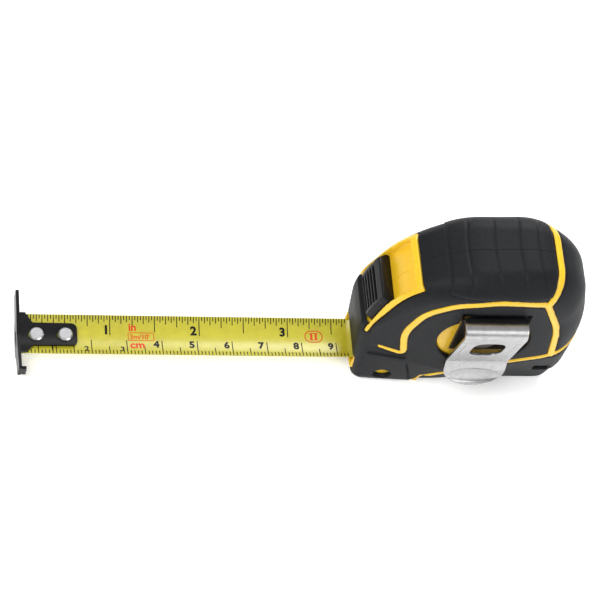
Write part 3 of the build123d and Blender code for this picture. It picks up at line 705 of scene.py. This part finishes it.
length_box = rounded_path(
    [(30.5, -1.1), (37.8, -1.1), (37.8, 1.37), (30.5, 1.37)], [0.2] * 4, closed=True)[:-1]
gathers(ring_on_blade("length_box", length_box + np.array([ZERO, 0]), 0.2, red_ink))
class_oval = rounded_path(
    [(81.2, -0.85), (86.2, -0.85), (86.2, 2.6), (81.2, 2.6)], [1.7] * 4, closed=True)[:-1]
gathers(ring_on_blade("class_oval", class_oval + np.array([ZERO, 0]), 0.28, red_ink))
class_bars = (ZERO + np.array([82.75, 84.05, 82.45, 82.45]), ZERO + np.array([83.35, 84.65, 84.95, 84.95]),
               np.array([-0.2, -0.2, -0.25, 1.75]), np.array([1.95, 1.95, 0.0, 2.0]))
points, faces = wafers(*class_bars)
gathers(make_piece("class_bars", points, faces, red_ink, "case", smooth=False))

# End hook and rivets: pressed steel blackened all over, held by two bright domed rivets.
# The hook floats on its rivets by its own thickness, so that it reads true pushed or pulled.
black_steel = finish("black_steel", (0.006, 0.006, 0.007), (0.010, 0.010, 0.011), 0.26, 0.36,
                     grain=3000.0, depth=0.00001, strength=0.25, sockets=(("Specular IOR Level", 0.18),))
bright_steel = finish("bright_steel", (0.78, 0.78, 0.79), (0.66, 0.66, 0.67), 0.22, 0.36, metallic=1.0,
                      grain=2600.0, depth=0.000008, strength=0.25)


def dress(material, *nodes):
    """Gives CAD nodes that are shown as they are this finish."""
    for node in nodes:
        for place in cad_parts[node].material_slots:
            place.material = material


dress(black_steel, "end_hook")
dress(bright_steel, "hook_rivets")

# Belt clip: one strip of stainless sheet, folded over at the top, with a punched hole and a bent-out lip.
# A leaf behind the fold is screwed to the case; the tongue springs against the side panel.
stainless = finish("stainless", (0.50, 0.50, 0.505), (0.36, 0.36, 0.365), 0.20, 0.38, metallic=1.0,
                   grain=1400.0, depth=0.00001, strength=0.3, patch=40.0, fine=700.0)
CLIP_X, CLIP_SHEET, CLIP_HALF = 0.9, 0.7, 8.9
FOLD_Y, FOLD_Z, FOLD_R = -14.85, 40.2, 2.9
LIP_TOP, LIP_END = 17.0, 10.6           # the tongue's rounded end starts and stops at these heights
arc = np.linspace(0, math.pi, 40)
fold = np.stack([FOLD_Y + FOLD_R * np.cos(arc), FOLD_Z + FOLD_R * np.sin(arc)], 1)
tongue = rounded_path([(FOLD_Y - FOLD_R, FOLD_Z), (-13.6, 19.6), (-16.4, LIP_END)], [4.0], step=0.25)
leaf = np.stack([np.full(30, FOLD_Y + FOLD_R), np.linspace(24.0, 40.0, 30)], 1)
clip_path = np.concatenate([leaf, fold, tongue[1:]])
tongue_from = len(leaf) + len(fold) - 1
HOLE_Z, HOLE_HALF_X, HOLE_HALF_Z = 31.3, 4.6, 5.4
hole_rows = HOLE_Z + HOLE_HALF_Z * np.cos(np.linspace(0, math.pi, 36))
rows_z = clip_path[tongue_from:, 1]
keep_rows = np.abs(rows_z - HOLE_Z) > HOLE_HALF_Z + 0.1
split = np.argmax(~keep_rows)
tongue_rows = np.concatenate([rows_z[:split], hole_rows, rows_z[split:][keep_rows[split:]]])
tongue_y = np.interp(-tongue_rows, -rows_z, clip_path[tongue_from:, 0])
clip_y = np.concatenate([clip_path[:tongue_from, 0], tongue_y])
clip_z = np.concatenate([clip_path[:tongue_from, 1], tongue_rows])
on_tongue = np.arange(len(clip_y)) >= tongue_from
share = np.clip(np.abs(clip_z - HOLE_Z) / HOLE_HALF_Z, 0, 1)
HOLE_POWER = 3.2        # 2 would be an ellipse, and more is squarer
hole_half = np.where(on_tongue, HOLE_HALF_X * (1 - share ** HOLE_POWER) ** (1 / HOLE_POWER), 0)
lip_share = np.clip((LIP_TOP - clip_z) / (LIP_TOP - LIP_END), 0, 0.985) * on_tongue
clip_half = CLIP_HALF * np.sqrt(1 - lip_share ** 2.4)
columns = np.linspace(0, 1, 22)
half_columns = hole_half[:, None] + (clip_half - hole_half)[:, None] * columns[None]
clip_u = np.concatenate([-half_columns[:, ::-1], half_columns], 1)
clip_dir = np.stack([np.gradient(clip_y), np.gradient(clip_z)], 1)
clip_dir /= np.linalg.norm(clip_dir, axis=1, keepdims=True)
dimple = 1 - np.hypot(clip_u / 8.0, (clip_z[:, None] - 14.1) / 2.9) ** 2
press = -0.75 * np.clip(dimple, 0, 1) ** 0.6
bracket = np.minimum(np.maximum(np.abs(np.abs(clip_u) - 6.9), np.abs(clip_z[:, None] - 30.9) - 5.6),
                     np.maximum(np.abs(clip_z[:, None] - 36.5), np.abs(np.abs(clip_u) - 6.0) - 1.1))
press = np.where(on_tongue[:, None], press - 0.16 * (1 - ease(bracket, 0.18, 0.42)), 0)
clip_points = np.stack([CLIP_X + clip_u, clip_y[:, None] + press * clip_dir[:, 1:],
                        clip_z[:, None] - press * clip_dir[:, :1]], -1)
clip_faces = grid_faces(*clip_u.shape, False)
hole_column = len(columns) - 1          # the quads that would bridge the hole, between the two halves
clip_faces = np.delete(clip_faces, hole_column, axis=1)
clip = make_piece("belt_clip_sheet", clip_points, clip_faces, stainless, "case", ["belt_clip"])
# Painted shade: the leaf behind the tongue gets a dark copy of the stainless, standing in for the shade the
# tongue casts on it.
painted_shade_steel = finish("painted_shade_steel", (0.10, 0.09, 0.08), (0.07, 0.065, 0.06), 0.35, 0.5, metallic=1.0)
clip.data.materials.append(painted_shade_steel)
for face in clip.data.polygons:
    face.material_index = int(face.center[1] > -0.0121 and face.center[2] > 0.0235)
sheet = clip.modifiers.new("sheet", "SOLIDIFY")
sheet.thickness, sheet.offset = CLIP_SHEET * MM, 0.0
edges = clip.modifiers.new("edges", "BEVEL")
edges.width, edges.segments, edges.limit_method, edges.angle_limit = 0.12 * MM, 2, "ANGLE", math.radians(50)
# The clip's screw, under the tongue, is given the same dark steel as painted shade.
dress(painted_shade_steel, "clip_screw")

# Lock button: hard black plastic, sliding along an arc in the yellow recess.
# Its sides slope in, five grooves cross it, and a wide bar at the top stops the thumb.
button_black = finish("button_black", (0.006, 0.006, 0.007), (0.010, 0.010, 0.011), 0.28, 0.38,
                      grain=3500.0, depth=0.00002, strength=0.3, sockets=(("Specular IOR Level", 0.18),))
BUTTON_LOW, BUTTON_HIGH = 3.5, 24.8     # degrees along the lock's arc
BUTTON_BASE, BUTTON_TOP = 30.45, 34.3   # radii from the lock's centre
MIDDLE_R = 31.5                         # the radius at which ARC_STEP holds
TOOTH_PITCH = 1.6
button_rows = np.linspace(BUTTON_LOW, BUTTON_HIGH, 150)
section = rounded_path([(8.1, 0), (8.1, 0.5), (6.4, 3.85), (-6.4, 3.85), (-8.1, 0.5), (-8.1, 0)],
                       [0.3, 0.5, 0.5, 0.3], step=0.12)
section = np.concatenate([section, [(-6.5, 0), (0, 0), (6.5, 0)]])
button_y = np.broadcast_to(section[None, :, 0], (len(button_rows), len(section)))
rise = np.interp(button_rows, [BUTTON_LOW, 3.8, 7.0, 20.4, 20.9, 24.4, BUTTON_HIGH],
                 [0.30, 0.50, 0.94, 0.94, 1.02, 1.0, 0.92])
button_r = BUTTON_BASE + section[None, :, 1] * rise[:, None]
on_top = ease(button_r - BUTTON_BASE, 2.2, 3.0)
for groove_at in np.linspace(8.4, 19.0, 5):
    across_groove = np.abs(button_rows[:, None] - groove_at) * ARC_STEP * BUTTON_TOP / MIDDLE_R
    inside_ends = 1 - ease(np.abs(button_y), 5.0, 5.5)
    button_r = button_r - 0.9 * (1 - ease(across_groove, 0.22, 0.62)) * on_top * inside_ends
teeth = 1 - ease(np.abs(np.mod(button_y, TOOTH_PITCH) - TOOTH_PITCH / 2), 0.15, 0.35)
front_face = 1 - ease(button_rows[:, None], 5.2, 6.2)
button_r = button_r - 0.8 * teeth * front_face * ease(button_r - BUTTON_BASE, 0.8, 1.4)
angle = np.radians(button_rows)[:, None]
button = np.stack([LOCK_X - button_r * np.cos(angle), button_y, LOCK_Z + button_r * np.sin(angle)], -1)
caps = [np.broadcast_to(button[k].mean(axis=0), button[k].shape)[None] for k in (0, -1)]
button = np.concatenate([caps[0], button, caps[1]])
button = np.concatenate([button, button[:, :1]], 1)
make_piece("lock_button_cap", button, grid_faces(*button.shape[:2], False), button_black,
           "lock", ["lock_button"])

# Badge: a plain yellow disc with a raised ring, glued in the round window on the far side.
# Its outline is turned about the window's axis; each point is a radius and a distance from the middle.
badge_profile = np.array([(0, 12.6), (6, 12.6), (9.6, 12.55), (10.0, 12.3), (10.5, 12.3), (10.9, 12.75),
                          (12.2, 12.75), (12.7, 12.6), (12.9, 12.2), (12.9, 11.7), (0, 11.7)])
around = np.linspace(0, 2 * math.pi, 97)[:-1, None]
badge_r, badge_y = badge_profile[None, :, 0], badge_profile[None, :, 1]
badge = np.stack([WINDOW_X + badge_r * np.cos(around), 0 * around + badge_y,
                  WINDOW_Z + badge_r * np.sin(around)], -1)
make_piece("badge_disc", badge, grid_faces(*badge.shape[:2], True), yellow_plastic, "case",
           ["round_badge"])

# Inner works and small fixings: the reel, its spring, the wound blade, the lock's carrier and shoe.
# They keep their own shapes and are only given a finish.
grey_plastic = finish("grey_plastic", (0.20, 0.20, 0.21), (0.16, 0.16, 0.17), 0.4, 0.55)
spring_steel = finish("spring_steel", (0.42, 0.43, 0.46), (0.32, 0.33, 0.36), 0.25, 0.4, metallic=1.0)
dress(grey_plastic, "reel_drum", "reel_cover", "lock_carrier")
dress(spring_steel, "power_spring", "arbor_post")
dress(blade_lacquer, "blade_coil", "blade_inner_run")
dress(black_rubber, "brake_shoe")
dress(black_steel, "case_screws")
